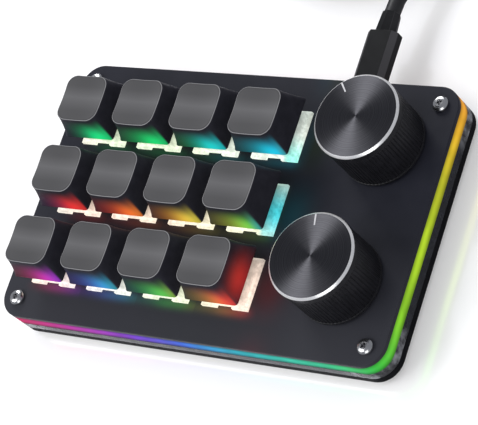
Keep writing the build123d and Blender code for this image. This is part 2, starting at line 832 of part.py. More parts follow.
def coil_tube():
    """One unbroken tube through every turn, with a straight end one diameter long at each side."""
    turns = [coil_turns * step / coil_steps for step in range(coil_steps + 1)]
    first = coil_point(turns[0])
    last = coil_point(turns[-1])
    lead_in = first - coil_direction(turns[0]) * cable_diameter
    lead_out = last + coil_direction(turns[-1]) * cable_diameter
    edges = [Line(lead_in, first)]
    for turn, next_turn in zip(turns, turns[1:]):
        here = coil_point(turn), coil_direction(turn)
        there = coil_point(next_turn), coil_direction(next_turn)
        edges += biarc(*here, *there)
    edges.append(Line(last, lead_out))
    path = Wire([edge for curve in edges for edge in curve.edges()])
    tube = sweep(Plane(lead_in, z_dir=first - lead_in) * cable_outline(), path=path)
    print("coil length", round(path.length, 1), "least gap to itself", round(coil_gap(path), 2))
    print("coil volume over section and length", round(tube.volume / (cable_outline().area * path.length), 4))
    print("coil starts at", lead_in, "and ends at", lead_out)
    return tube, path.length


def coil_gap(path):
    """Least gap between the tube and its other turns, measured on points along its middle line."""
    spacing = cable_diameter / 2
    count = int(path.length / spacing)
    points = [path.position_at(step / count) for step in range(count + 1)]
    apart = int(math.pi * coil_outer_radius / spacing / 2)
    pairs = (
        (points[one] - points[other]).length
        for one in range(count + 1)
        for other in range(one + apart, count + 1)
    )
    return min(pairs) - cable_diameter


os.makedirs("parts", exist_ok=True)

keep("rubber_feet", *at_places(box_at(foot_width, foot_width, foot_height), foot_places))
keep("bottom_plate", bottom_plate())
keep("clear_frame", frame(clear_frame_z, clear_frame_height))
keep("light_guide_frame", light_guide())
keep("top_plate", top_plate())
keep("top_screws", *at_places(top_screw(), screw_places, deck_z))

keep("main_board", board())
keep("key_lights", *at_places(key_led(), key_places))
keep("edge_lights", *edge_leds())
keep("controller_chip", controller_chip())
keep("key_diodes", *at_places(diode(), key_places))

keep("switch_lower_housings", *at_places(lower_housing(), key_places, deck_z))
keep("switch_upper_housings", *at_places(upper_housing(), key_places, deck_z))
keep("switch_contacts", *[place for piece in contacts() for place in at_places(piece, key_places, deck_z)])
keep("switch_springs", *at_places(spring(), key_places, deck_z))
key_stem = stem()
key_cap = keycap()
for number, (x, y) in enumerate(key_places, start=1):
    keep(f"switch_stem_{number:02}", Pos(x, y, deck_z) * key_stem)
    keep(f"keycap_{number:02}", Pos(x, y, deck_z) * key_cap)

keep("encoder_bodies", *at_places(encoder_body(), dial_places.values(), deck_z))
keep("encoder_bushings", *at_places(encoder_bushing(), dial_places.values(), deck_z))
keep("encoder_terminals", *[
    place for piece in encoder_terminals() for place in at_places(piece, dial_places.values(), deck_z)
])
dial_knob = knob()
for side, (x, y) in dial_places.items():
    keep(f"{side}_dial_rotor", Pos(x, y, deck_z) * encoder_rotor())
    keep(f"{side}_dial_shaft", Pos(x, y, deck_z) * encoder_shaft())
    keep(f"{side}_dial_knob", Pos(x, y, deck_z) * dial_knob)

keep("usb_c_socket", usb_socket())
keep("usb_c_socket_tongue", usb_socket_tongue())
keep("usb_c_plug_shell", usb_plug_shell())
keep("usb_c_plug_grip", usb_plug_grip())
keep("usb_a_plug_grip", far_grip())
keep("usb_a_plug_shell", far_shell())
keep("usb_a_plug_tongue", far_tongue())

lead, lead_length = route_tube("lead", lead_route)
coil, coil_length = coil_tube()
tail, tail_length = route_tube("tail", tail_route)
keep("cable_lead", lead)
keep("cable_coil", coil)
keep("cable_tail", tail)
print("cable length", round(lead_length + coil_length + tail_length, 1))
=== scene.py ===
# Looks of the macro keypad: a finish on each piece that stays as it is, and finer meshes of its keycaps,
# dials, screws, springs and cable. Their lengths are in mm, and MM turns them into metres. The camera, the
# floor and the lamps are in metres. X goes to the right, Y to the back and Z up from the desk.
import math

import bpy
from mathutils import Matrix, Vector


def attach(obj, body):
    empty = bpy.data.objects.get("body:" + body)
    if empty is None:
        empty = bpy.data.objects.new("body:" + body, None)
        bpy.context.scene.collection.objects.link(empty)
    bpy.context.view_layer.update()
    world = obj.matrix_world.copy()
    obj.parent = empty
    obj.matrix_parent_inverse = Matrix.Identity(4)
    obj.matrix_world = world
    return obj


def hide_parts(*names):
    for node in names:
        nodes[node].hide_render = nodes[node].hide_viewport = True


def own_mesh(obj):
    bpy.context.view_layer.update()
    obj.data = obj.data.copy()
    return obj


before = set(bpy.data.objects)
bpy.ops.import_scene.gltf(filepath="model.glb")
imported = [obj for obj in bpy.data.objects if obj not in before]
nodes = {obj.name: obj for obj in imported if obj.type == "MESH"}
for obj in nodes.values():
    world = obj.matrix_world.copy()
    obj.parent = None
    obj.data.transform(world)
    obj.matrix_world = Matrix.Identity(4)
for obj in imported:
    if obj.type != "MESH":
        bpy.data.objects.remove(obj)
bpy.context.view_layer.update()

MM = 0.001
DECK = 13.9

# The keys stand in four columns from the left, and in three rows about the middle
KEY_PITCH_X, KEY_PITCH_Y = 20.5, 22.8
FIRST_COLUMN = -48.85
KEY_X = [FIRST_COLUMN + KEY_PITCH_X * column for column in range(4)]
KEY_Y = [KEY_PITCH_Y * row for row in (-1, 0, 1)]
ROW_BORDER = KEY_PITCH_Y / 2

# Each key's number and middle, row by row from the front left
KEYS = []
for row_y in KEY_Y:
    for column_x in KEY_X:
        KEYS.append((len(KEYS) + 1, column_x, row_y))

# Each dial's middle, and the angle that its pointer has in the photograph
DIALS = {"back": (46.677, 22.4, 128.5), "front": (46.677, -18.8, 101.0)}
SCREWS = [(60.15, 35.9), (60.15, -35.9), (-60.15, -35.9), (-60.15, 35.9)]


def show(piece):
    bpy.context.scene.collection.objects.link(piece)


# Camera, from the photograph's own perspective

EYE = (0.36363, -0.18978, 0.49443)
LOOK = (-0.569, 0.2997, -0.7657)
UPWARDS = (-0.0863, 0.9043, 0.4181)

camera_data = bpy.data.cameras.new("camera")
camera_data.lens = 167.77
camera_data.sensor_width = 36.0
camera_data.clip_start = 0.01
camera_data.clip_end = 20.0
camera = bpy.data.objects.new("camera", camera_data)
show(camera)
look = Vector(LOOK).normalized()
right = look.cross(Vector(UPWARDS)).normalized()
up = right.cross(look)
turn = Matrix((right, up, -look)).transposed()
camera.matrix_world = Matrix.Translation(Vector(EYE)) @ turn.to_4x4()
bpy.context.scene.camera = camera


# The cable: one smooth line along the route, with its coil put away behind the keypad

CABLE = 4.8
LEAD = [(33.1, 64.9, 10.5), (33.1, 78.0, 10.5), (52.5, 100.0, 2.4), (52.5, 120.2, 2.4)]
TAIL = [(-0.8, 173.5, 7.7), (-7.8, 173.5, 7.7), (-18.8, 173.5, 4.0), (-24.8, 173.5, 4.0)]
COIL_CENTRE = (4.0, 125.0)
COIL_RADIUS = 48.5
COIL_PITCH = 5.3
COIL_TURNS = 3.25
COIL_POINTS = 16


def coil_points():
    """Points a little outside the turns, by as much as the smooth line cuts inside them."""
    points = []
    middle = COIL_TURNS / 2
    for step in range(int(COIL_TURNS * COIL_POINTS)):
        turns = (step + 0.5) / COIL_POINTS
        radius = COIL_RADIUS - COIL_PITCH * (middle - abs(turns - middle))
        radius /= math.cos(math.pi / COIL_POINTS)
        climb = min(max((turns - middle) * 2 + 0.5, 0), 1)
        height = CABLE / 2 + COIL_PITCH * (1 - math.cos(math.pi * climb)) / 2
        angle = 2 * math.pi * turns
        x = COIL_CENTRE[0] + radius * math.cos(angle)
        y = COIL_CENTRE[1] + radius * math.sin(angle)
        points.append((x, y, height))
    return points


cable_curve = bpy.data.curves.new("cable", "CURVE")
cable_curve.dimensions = "3D"
cable_line = cable_curve.splines.new("NURBS")
route = LEAD + coil_points() + TAIL
cable_line.points.add(len(route) - 1)
# The thickness is on the points, because the size of the object is measured with it
for point, place in zip(cable_line.points, route):
    point.co = (place[0] * MM, place[1] * MM, place[2] * MM, 1.0)
    point.radius = CABLE / 2 * MM
cable_line.order_u = 3
cable_line.use_endpoint_u = True
cable_line.resolution_u = 6
cable_curve.bevel_depth = 1.0
cable_curve.bevel_resolution = 5
cable_curve.use_fill_caps = True
cable = bpy.data.objects.new("cable", cable_curve)
show(cable)
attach(cable, "base")
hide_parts("cable_lead", "cable_coil", "cable_tail")


# Materials

class Shader:
    """One node material, with short calls for the nodes it uses."""

    def __init__(self, name, colour, roughness, metallic=0.0, **sockets):
        self.material = bpy.data.materials.new(name)
        self.material.use_nodes = True
        self.tree = self.material.node_tree
        self.surface = self.tree.nodes["Principled BSDF"]
        self.set("Metallic", metallic)
        self.set("Roughness", roughness)
        self.set("Base Color", colour)
        for socket, value in sockets.items():
            self.set(socket.replace("_", " "), value)
        coordinates = self.add("ShaderNodeTexCoord")
        self.place = coordinates.outputs["Object"]
        self.normal = coordinates.outputs["Normal"]

    def give(self, target, value):
        """Link a socket, or write a number, a vector or a colour without its alpha."""
        if isinstance(value, bpy.types.NodeSocket):
            self.tree.links.new(value, target)
        elif isinstance(value, tuple) and len(value) < len(target.default_value):
            target.default_value = (*value, 1.0)
        else:
            target.default_value = value

    def set(self, socket, value):
        self.give(self.surface.inputs[socket], value)

    def add(self, kind, inputs=(), **settings):
        """A node with its settings, and with values for its inputs, each (number or name, value)."""
        node = self.tree.nodes.new(kind)
        for name, value in settings.items():
            setattr(node, name, value)
        for key, value in inputs:
            self.give(node.inputs[key], value)
        return node

    def math(self, operation, first, second=0.0, third=0.0):
        inputs = enumerate((first, second, third))
        return self.add("ShaderNodeMath", inputs, operation=operation).outputs[0]

    def product(self, first, *others):
        for value in others:
            first = self.math("MULTIPLY", first, value)
        return first

    def parts(self, vector):
        return tuple(self.add("ShaderNodeSeparateXYZ", [(0, vector)]).outputs)

    def axes(self):
        """The place in mm, as three sockets."""
        inputs = [(0, self.place), ("Scale", 1 / MM)]
        return self.parts(self.add("ShaderNodeVectorMath", inputs, operation="SCALE").outputs[0])

    def noise(self, size, detail, stretch=None):
        """Noise whose features are about this many mm across."""
        vector = self.place
        if stretch:
            vector = self.add("ShaderNodeMapping", [("Vector", vector), ("Scale", stretch)]).outputs[0]
        inputs = [("Vector", vector), ("Scale", 1.0 / (size * MM)), ("Detail", detail)]
        return self.add("ShaderNodeTexNoise", inputs).outputs["Fac"]

    def ramp(self, factor, stops):
        node = self.add("ShaderNodeValToRGB", [(0, factor)])
        elements = node.color_ramp.elements
        while len(elements) < len(stops):
            elements.new(0.5)
        for element, (position, colour) in zip(elements, stops):
            element.position = position
            element.color = (*colour, 1.0)
        return node.outputs[0]

    def spread(self, value, stops):
        """Colours along a length, from stops of (mm, colour)."""
        low, high = stops[0][0], stops[-1][0]
        share = self.range(value, low, high, smooth=False)
        return self.ramp(share, [((place - low) / (high - low), colour) for place, colour in stops])

    def mix(self, factor, first, second, blend="MIX"):
        inputs = [(0, factor), (6, first), (7, second)]
        return self.add("ShaderNodeMix", inputs, data_type="RGBA", blend_type=blend).outputs[2]

    def bump(self, height, depth, strength=0.5):
        """Bump with a depth in mm."""
        inputs = [("Height", height), ("Distance", depth * MM), ("Strength", strength)]
        self.set("Normal", self.add("ShaderNodeBump", inputs).outputs[0])

    def range(self, value, low, high, to_low=0.0, to_high=1.0, smooth=True):
        inputs = enumerate((value, low, high, to_low, to_high))
        kind = "SMOOTHSTEP" if smooth else "LINEAR"
        return self.add("ShaderNodeMapRange", inputs, interpolation_type=kind).outputs[0]

    def bell(self, value, centre, width):
        """1 at the centre, falling off to either side."""
        offset = self.math("DIVIDE", self.math("SUBTRACT", value, centre), width)
        return self.math("EXPONENT", self.product(offset, offset, -1.0))

    def vary(self, dark, light, size):
        """Base colour that drifts between two tones."""
        self.set("Base Color", self.ramp(self.noise(size, 3.0), [(0.3, dark), (0.7, light)]))

    def glow(self, colour, strength):
        self.set("Emission Color", colour)
        self.set("Emission Strength", strength)


# Colours of the lights under the keys, along each row from left to right, at lengths in mm

BACK_GLOW = [
    (-56, (0.0, 0.05, 0.06)),
    (-47, (0.0, 0.75, 0.22)),
    (-27, (0.0, 0.72, 0.16)),
    (-14, (0.0, 0.6, 0.16)),
    (-5, (0.0, 0.65, 0.6)),
    (8, (0.0, 0.5, 0.6)),
    (19, (0.0, 0.6, 0.85)),
    (24, (0.1, 0.2, 0.02)),
]
MIDDLE_GLOW = [
    (-56, (0.16, 0.02, 0.16)),
    (-46, (0.8, 0.02, 0.02)),
    (-33, (0.85, 0.04, 0.01)),
    (-22, (0.9, 0.18, 0.01)),
    (-12, (0.9, 0.3, 0.02)),
    (-1, (0.75, 0.6, 0.05)),
    (8, (0.6, 0.6, 0.04)),
    (18, (0.15, 0.6, 0.06)),
    (22, (0.0, 0.4, 0.5)),
]
FRONT_GLOW = [
    (-57, (0.8, 0.03, 0.08)),
    (-46, (0.6, 0.02, 0.4)),
    (-40, (0.35, 0.02, 0.65)),
    (-35, (0.08, 0.06, 0.8)),
    (-23, (0.02, 0.32, 0.62)),
    (-17, (0.02, 0.42, 0.34)),
    (-10, (0.03, 0.52, 0.09)),
    (-2, (0.1, 0.52, 0.05)),
    (6, (0.6, 0.45, 0.03)),
    (13, (0.8, 0.24, 0.03)),
    (18, (0.85, 0.07, 0.02)),
    (22, (0.85, 0.02, 0.01)),
]


def row_glow(shader):
    """Colour of the light at a place among the keys, and the place."""
    x, y, z = shader.axes()
    front, middle, back = [shader.spread(x, stops) for stops in (FRONT_GLOW, MIDDLE_GLOW, BACK_GLOW)]
    past_front = shader.math("GREATER_THAN", y, -ROW_BORDER)
    past_middle = shader.math("GREATER_THAN", y, ROW_BORDER)
    return shader.mix(past_middle, shader.mix(past_front, front, middle), back), x, y, z


def key_local(shader, x, y):
    """Offsets from the middle of the nearest key, in mm."""
    half = KEY_PITCH_X / 2
    local_x = shader.math("WRAP", shader.math("SUBTRACT", x, FIRST_COLUMN), half, -half)
    local_y = shader.math("WRAP", y, ROW_BORDER, -ROW_BORDER)
    return local_x, local_y


# Painted shading of a keycap's dished top, lightest in a band across its middle, from its front to its back,
# at lengths in mm from its middle
CAP_TOP_PAINTED_SHADING = [
    (-8.0, (0.015, 0.015, 0.017)),
    (-4.48, (0.026, 0.026, 0.028)),
    (0.0, (0.07, 0.07, 0.074)),
    (3.52, (0.028, 0.028, 0.03)),
    (8.0, (0.013, 0.013, 0.015)),
]


def keycap_material():
    """Dark plastic, with painted shading on its top, a painted highlight along the edge of its top, and a
    painted glow of the light below on its front, and on the last front key's right.
    """
    shader = Shader("keycap_plastic", (0.03, 0.03, 0.033), 0.5, Specular_IOR_Level=0.05)
    shader.bump(shader.noise(0.22, 3.0), 0.012, 0.6)
    colour, x, y, z = row_glow(shader)
    local_x, local_y = key_local(shader, x, y)
    normal_x, normal_y, normal_z = shader.parts(shader.normal)

    side = shader.ramp(shader.noise(3.0, 3.0), [(0.3, (0.021, 0.021, 0.028)), (0.7, (0.028, 0.028, 0.037))])
    # Painted shading: the top is painted lighter than the sides, with a lighter band across the middle of its
    # dish
    tone = shader.mix(shader.range(normal_z, 0.72, 0.93), side, shader.spread(local_y, CAP_TOP_PAINTED_SHADING))
    # Painted highlight: a pale line along the rounded edge of the top
    edge = shader.product(shader.bell(normal_z, 0.8, 0.14), 0.9)
    shader.set("Base Color", shader.mix(edge, tone, (0.3, 0.3, 0.31)))

    # Painted glow of the light under each key on the front of its cap, strongest low down and to the right
    outside = shader.math("LESS_THAN", local_y, -6.5)
    front_side = shader.product(shader.range(normal_y, -0.45, -0.8), outside)
    to_the_right = shader.range(local_x, -9.5, 4.0, 0.12, 1.0)
    downwards = shader.range(z, DECK + 16.2, DECK + 9.0)
    wide = shader.product(front_side, to_the_right, downwards, 0.4)
    spot_x = shader.bell(local_x, 4.5, 4.0)
    spot_z = shader.bell(z, DECK + 8.2, 3.4)
    spot = shader.product(front_side, spot_x, spot_z, 0.55)

    # Painted glow of that light on the right side of the last front key
    front_row = shader.math("LESS_THAN", y, -ROW_BORDER)
    last_column = shader.math("GREATER_THAN", x, 12.0)
    right_side = shader.product(shader.range(normal_x, 0.55, 0.85), front_row, last_column)
    flank_y = shader.bell(local_y, -2.0, 5.5)
    flank_z = shader.bell(z, DECK + 10.0, 3.6)
    flank = shader.product(right_side, flank_y, flank_z, 0.45)
    shader.glow(colour, shader.math("ADD", shader.math("ADD", wide, spot), flank))
    return shader.material


def plate_material():
    """Black anodised metal, with a painted highlight that makes it paler to the front, and a painted glow of
    the keys' light beside the block and before each row.
    """
    shader = Shader("anodised_plate", (0.016, 0.017, 0.024), 0.42, Specular_IOR_Level=0.12)
    shader.bump(shader.noise(0.12, 2.0), 0.006)
    colour, x, y, z = row_glow(shader)
    local_x, local_y = key_local(shader, x, y)

    tone = shader.ramp(shader.noise(9.0, 3.0), [(0.3, (0.014, 0.015, 0.022)), (0.7, (0.018, 0.019, 0.027))])
    # Painted highlight: the plate is painted paler towards the front
    forward = shader.range(y, 10.0, -40.0, 0.0, 0.9)
    shader.set("Base Color", shader.mix(forward, tone, (0.03, 0.031, 0.038)))

    # Painted glow of the keys' light on the plate, right of the block and before each row
    beside = shader.product(shader.bell(x, 25.0, 5.0), shader.bell(local_y, -1.0, 7.0), 0.05)
    from_left = shader.range(x, -60.0, -52.0)
    to_right = shader.range(x, 24.0, 18.0)
    front_row = shader.range(y, -10.0, -13.0, 0.25, 1.0)
    short_of_back = shader.range(y, 30.0, 26.0)
    before = shader.product(shader.bell(local_y, -8.3, 1.5), from_left, to_right, front_row, short_of_back)
    along_key = shader.range(shader.bell(local_x, 3.0, 7.0), 0.0, 1.0, 0.08, 0.22)
    shader.glow(colour, shader.math("ADD", beside, shader.product(before, along_key)))
    return shader.material


# Colours of the light guide, by the share of the way round the case, anticlockwise from its left
RIM = [
    (0.0, (0.8, 0.05, 0.03)),
    (0.089, (0.75, 0.02, 0.1)),
    (0.13, (0.5, 0.03, 0.4)),
    (0.19, (0.2, 0.05, 0.7)),
    (0.25, (0.05, 0.16, 0.8)),
    (0.32, (0.02, 0.5, 0.62)),
    (0.385, (0.04, 0.62, 0.32)),
    (0.411, (0.06, 0.62, 0.06)),
    (0.44, (0.25, 0.66, 0.03)),
    (0.475, (0.46, 0.74, 0.03)),
    (0.5, (0.52, 0.74, 0.03)),
    (0.535, (0.6, 0.6, 0.03)),
    (0.565, (0.85, 0.5, 0.03)),
    (0.59, (0.92, 0.36, 0.04)),
    (0.7, (0.85, 0.1, 0.02)),
    (1.0, (0.8, 0.05, 0.03)),
]
RIM_MIDDLE = DECK - 3.3


def rim_material():
    """Light guide: its colour runs round the case, brightest along its middle."""
    shader = Shader("light_guide", (0.6, 0.75, 0.65), 0.5, Specular_IOR_Level=0.03)
    x, y, z = shader.axes()
    share = shader.math("ADD", shader.math("DIVIDE", shader.math("ARCTAN2", y, x), 2 * math.pi), 0.5)
    colour = shader.ramp(share, RIM)
    uneven = shader.range(shader.noise(7.0, 2.0), 0.3, 0.7, 0.85, 1.1)
    shader.set("Base Color", shader.mix(0.8, (0.02, 0.02, 0.02), colour, "MULTIPLY"))
    shader.glow(colour, shader.product(shader.bell(z, RIM_MIDDLE, 2.3), uneven, 0.9))
    shader.bump(shader.noise(0.4, 2.0), 0.02, 0.4)
    return shader.material


# The clear frame is painted pale, as painted highlights, between these sums of a place's distances from the
# middle along X and Y
CORNER_START, CORNER_FULL = 91.0, 97.0


def acrylic_material():
    """Clear frame: painted dark along its straight sides as painted shade, with pale painted highlights in
    uneven patches in its corners.
    """
    shader = Shader("clear_acrylic", (0.9, 0.92, 0.95), 0.06, IOR=1.3, Specular_IOR_Level=0.1)
    x, y, z = shader.axes()
    reach = shader.math("ADD", shader.math("ABSOLUTE", x), shader.math("ABSOLUTE", y))
    corner = shader.range(reach, CORNER_START, CORNER_FULL)
    # Painted highlights in the corners, and painted shade along the straight sides
    painted_glints = shader.noise(3.0, 2.0, stretch=(1.0, 1.0, 0.7))
    tones = [(0.36, (0.08, 0.08, 0.09)), (0.5, (0.17, 0.175, 0.19)), (0.66, (0.36, 0.37, 0.4))]
    shader.set("Base Color", shader.mix(corner, (0.035, 0.037, 0.046), shader.ramp(painted_glints, tones)))
    shader.set("Transmission Weight", shader.range(painted_glints, 0.4, 0.6, 0.55, 0.25))
    shader.set("Roughness", shader.range(shader.noise(1.2, 3.0), 0.4, 0.75, 0.05, 0.16))
    shader.bump(shader.noise(1.6, 2.0, stretch=(1.0, 1.0, 0.3)), 0.02, 0.25)
    return shader.material


def housing_material():
    """Clear to milky plastic, with a painted glow of the light under it, which takes other colours right of
    the last column.
    """
    shader = Shader("switch_housing", (0.5, 0.46, 0.42), 0.25, Transmission_Weight=0.3, IOR=1.5)
    colour, x, y, z = row_glow(shader)
    local_x, local_y = key_local(shader, x, y)
    right_side = shader.range(x, 15.5, 17.5)
    middle_row = shader.bell(y, -1.0, 9.0)
    back_row = shader.product(shader.range(y, 24.0, 15.0), shader.range(y, 11.0, 12.0))
    # Painted glow: a pale version of the keys' light, with other colours right of the last column; it also
    # tints the base colour
    pale = shader.mix(0.82, colour, (0.95, 0.91, 0.78))
    pale = shader.mix(shader.product(right_side, middle_row), pale, (0.08, 0.62, 0.68))
    pale = shader.mix(shader.product(right_side, back_row), pale, (0.35, 0.85, 0.75))
    # The painted glow is strongest low down and to the front of each key
    uneven = shader.range(shader.noise(1.3, 2.0), 0.35, 0.65, 0.78, 1.1)
    low = shader.range(z, DECK + 5.5, DECK - 0.2, 0.25, 1.0)
    to_the_front = shader.range(local_y, 8.0, -8.0, 0.55, 1.0)
    shader.set("Base Color", shader.mix(1.0, pale, (0.3, 0.3, 0.3), "MULTIPLY"))
    shader.glow(pale, shader.product(uneven, low, to_the_front, 1.1))
    shader.bump(shader.noise(0.5, 2.0), 0.03, 0.4)
    return shader.material


def lamp_material():
    shader = Shader("lamp", (0.9, 0.9, 0.85), 0.4)
    colour = row_glow(shader)[0]
    shader.glow(shader.mix(0.4, colour, (1.0, 1.0, 0.95)), 1.2)
    shader.bump(shader.noise(0.3, 2.0), 0.01, 0.4)
    return shader.material


RINGS_PER_MM = 7.0


def dial_top_material(x, y):
    """Turned top of a dial: fine rings about its middle, which set the highlights as wedges."""
    shader = Shader("dial_top", (0.09, 0.09, 0.1), 0.45, 1.0, Anisotropic=0.95, Anisotropic_Rotation=0.25)
    shader.set("Tangent", shader.add("ShaderNodeTangent", direction_type="RADIAL", axis="Z").outputs[0])
    place_x, place_y, place_z = shader.axes()
    across = shader.math("SUBTRACT", place_x, x)
    along = shader.math("SUBTRACT", place_y, y)
    squares = shader.math("ADD", shader.product(across, across), shader.product(along, along))
    outwards = shader.product(shader.math("SQRT", squares), RINGS_PER_MM)
    inputs = [("W", outwards), ("Scale", 1.0), ("Detail", 3.0)]
    rings = shader.add("ShaderNodeTexNoise", inputs, noise_dimensions="1D").outputs["Fac"]
    shader.set("Base Color", shader.ramp(rings, [(0.3, (0.04, 0.04, 0.046)), (0.7, (0.12, 0.12, 0.132))]))
    shader.set("Roughness", shader.range(rings, 0.3, 0.7, 0.4, 0.5))
    return shader.material


def grip_material():
    """A satin moulding, with a painted highlight on its right shoulder."""
    shader = Shader("grip_satin", (0.0075, 0.0078, 0.0088), 0.36, Specular_IOR_Level=0.12)
    shader.bump(shader.noise(0.3, 3.0), 0.012, 0.6)
    tones = [(0.3, (0.006, 0.0062, 0.007)), (0.7, (0.009, 0.0094, 0.0105))]
    tone = shader.ramp(shader.noise(3.0, 3.0), tones)
    # Painted highlight where the surface faces to the right
    shoulder = shader.bell(shader.parts(shader.normal)[0], 0.7, 0.2)
    shader.set("Base Color", shader.mix(shoulder, tone, (0.055, 0.055, 0.06)))
    return shader.material


def bright_material(name, tone, roughness, metallic=1.0):
    """Bright metal of nearly one tone."""
    shader = Shader(name, (tone, tone, tone), roughness, metallic)
    shader.vary((tone - 0.06, tone - 0.06, tone - 0.05), (tone, tone, tone), 1.5)
    shader.bump(shader.noise(0.1, 2.0), 0.002, 0.4)
    return shader.material


def plain(name, dark, light, roughness, size=4.0, grain=0.2, depth=0.01, metallic=0.0, **sockets):
    """A surface that drifts between two tones, with a fine grain."""
    shader = Shader(name, dark, roughness, metallic, **sockets)
    shader.vary(dark, light, size)
    shader.bump(shader.noise(grain, 2.0), depth)
    return shader.material


MATERIALS = {
    "rubber": plain("foot_rubber", (0.012, 0.012, 0.012), (0.02, 0.02, 0.02), 0.75, depth=0.02),
    "plate": plate_material(),
    "bottom": plain(
        "bottom_plate_black",
        (0.005, 0.005, 0.006),
        (0.008, 0.008, 0.01),
        0.5,
        size=8.0,
        grain=0.15,
        depth=0.006,
        Specular_IOR_Level=0.03,
    ),
    "acrylic": acrylic_material(),
    "rim": rim_material(),
    "housing": housing_material(),
    "keycap": keycap_material(),
    "steel": bright_material("screw_steel", 0.62, 0.22),
    # The middle of each screw head takes this darker metal, as painted shade in its recess
    "recess": plain("screw_recess_painted_shade", (0.12, 0.12, 0.13), (0.2, 0.2, 0.21), 0.3, metallic=1.0, depth=0.004),
    "bright": bright_material("cut_rim", 0.95, 0.28, 0.72),
    "dial_side": plain(
        "dial_side",
        (0.009, 0.009, 0.011),
        (0.014, 0.014, 0.017),
        0.4,
        size=2.5,
        grain=0.12,
        depth=0.006,
        Specular_IOR_Level=0.2,
    ),
    "lamp": lamp_material(),
    "board": plain("board_mask", (0.006, 0.014, 0.012), (0.01, 0.02, 0.016), 0.3, size=6.0),
    "chip": plain("chip_moulding", (0.012, 0.012, 0.013), (0.02, 0.02, 0.021), 0.5),
    "stem": plain("stem_plastic", (0.35, 0.03, 0.02), (0.45, 0.045, 0.03), 0.3),
    "wire": bright_material("spring_wire", 0.6, 0.25),
    "contact": plain("contact_gold", (0.7, 0.48, 0.18), (0.8, 0.58, 0.25), 0.25, metallic=1.0, depth=0.003),
    "moulding": plain("black_moulding", (0.014, 0.014, 0.015), (0.022, 0.022, 0.024), 0.42),
    "zinc": bright_material("zinc_plate", 0.62, 0.28),
    "turned": bright_material("turned_shaft", 0.75, 0.22),
    "usb_steel": bright_material("usb_nickel", 0.7, 0.22),
    "grip": grip_material(),
    "cable": plain(
        "cable_jacket",
        (0.008, 0.008, 0.009),
        (0.014, 0.014, 0.016),
        0.42,
        grain=0.35,
        depth=0.015,
    ),
    "white": plain("pointer_paint", (0.42, 0.42, 0.44), (0.5, 0.5, 0.52), 0.4, depth=0.004),
}
cable_curve.materials.append(MATERIALS["cable"])


# The pieces that stay: a finish on each, and the width in mm of the fine bevel on its hard edges

FINISHES = {
    "rubber_feet": ("rubber", 0.3),
    "bottom_plate": ("bottom", 0.25),
    "clear_frame": ("acrylic", 0.2),
    "light_guide_frame": ("rim", 0.15),
    "top_plate": ("plate", 0.2),
    "main_board": ("board", 0.0),
    "key_lights": ("lamp", 0.0),
    "edge_lights": ("lamp", 0.0),
    "controller_chip": ("chip", 0.0),
    "key_diodes": ("chip", 0.0),
    "switch_lower_housings": ("housing", 0.15),
    "switch_upper_housings": ("housing", 0.2),
    "switch_contacts": ("contact", 0.0),
    "encoder_bodies": ("moulding", 0.15),
    "encoder_bushings": ("zinc", 0.15),
    "encoder_terminals": ("contact", 0.0),
    "usb_c_socket": ("usb_steel", 0.05),
    "usb_c_socket_tongue": ("moulding", 0.05),
    "usb_c_plug_shell": ("usb_steel", 0.05),
    "usb_c_plug_grip": ("grip", 0.3),
    "usb_a_plug_grip": ("grip", 0.5),
    "usb_a_plug_shell": ("usb_steel", 0.08),
    "usb_a_plug_tongue": ("moulding", 0.08),
}
for number, _, _ in KEYS:
    FINISHES[f"switch_stem_{number:02}"] = ("stem", 0.15)
for side in DIALS:
    FINISHES[f"{side}_dial_rotor"] = ("moulding", 0.0)
    FINISHES[f"{side}_dial_shaft"] = ("turned", 0.1)

WELD_REACH = 0.005
HARD_EDGE = 32.0


def soften(piece, width):
    """Weld, then round the edges where the surface turns by more than HARD_EDGE degrees."""
    weld = piece.modifiers.new("weld", "WELD")
    weld.merge_threshold = WELD_REACH * MM
    bevel = piece.modifiers.new("bevel", "BEVEL")
    bevel.width = width * MM
    bevel.segments = 2
    bevel.limit_method = "ANGLE"
    bevel.angle_limit = math.radians(HARD_EDGE)
    normals = piece.modifiers.new("normals", "WEIGHTED_NORMAL")
    normals.keep_sharp = True
    for polygon in piece.data.polygons:
        polygon.use_smooth = True


for name, (finish, width) in FINISHES.items():
    piece = nodes[name]
    piece.data.materials.clear()
    piece.data.materials.append(MATERIALS[finish])
    if width:
        soften(piece, width)


# Meshes made of rings of points

def build(name, rings, materials, body, closed_start=True, smooth_angle=35.0):
    """A piece from rings of equal length, each (points in mm, material index of the band after it)."""
    points = [tuple(value * MM for value in point) for ring, _ in rings for point in ring]
    count = len(rings[0][0])
    faces = []
    indices = []
    for row in range(len(rings) - 1):
        low, high = row * count, (row + 1) * count
        for column in range(count):
            following = (column + 1) % count
            faces.append((low + column, low + following, high + following, high + column))
            indices.append(rings[row][1])
    if closed_start:
        faces.append(tuple(reversed(range(count))))
        indices.append(rings[0][1])
    last = (len(rings) - 1) * count
    faces.append(tuple(range(last, last + count)))
    indices.append(rings[-1][1])
    mesh = bpy.data.meshes.new(name)
    mesh.from_pydata(points, [], faces)
    for material in materials:
        mesh.materials.append(material)
    for polygon, index in zip(mesh.polygons, indices):
        polygon.material_index = index
        polygon.use_smooth = True
    mesh.set_sharp_from_angle(angle=math.radians(smooth_angle))
    mesh.validate()
    piece = bpy.data.objects.new(name, mesh)
    show(piece)
    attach(piece, body)
    return piece


def circle(x, y, radius, z, count, cut=None):
    """A ring of points about a middle, cut in by an amount that depends on the angle."""
    points = []
    for step in range(count):
        angle = 2 * math.pi * step / count
        reach = radius - (cut(angle) if cut else 0.0)
        points.append((x + reach * math.cos(angle), y + reach * math.sin(angle), z))
    return points


CORNER_STEPS = 8
STRAIGHT_STEPS = 6


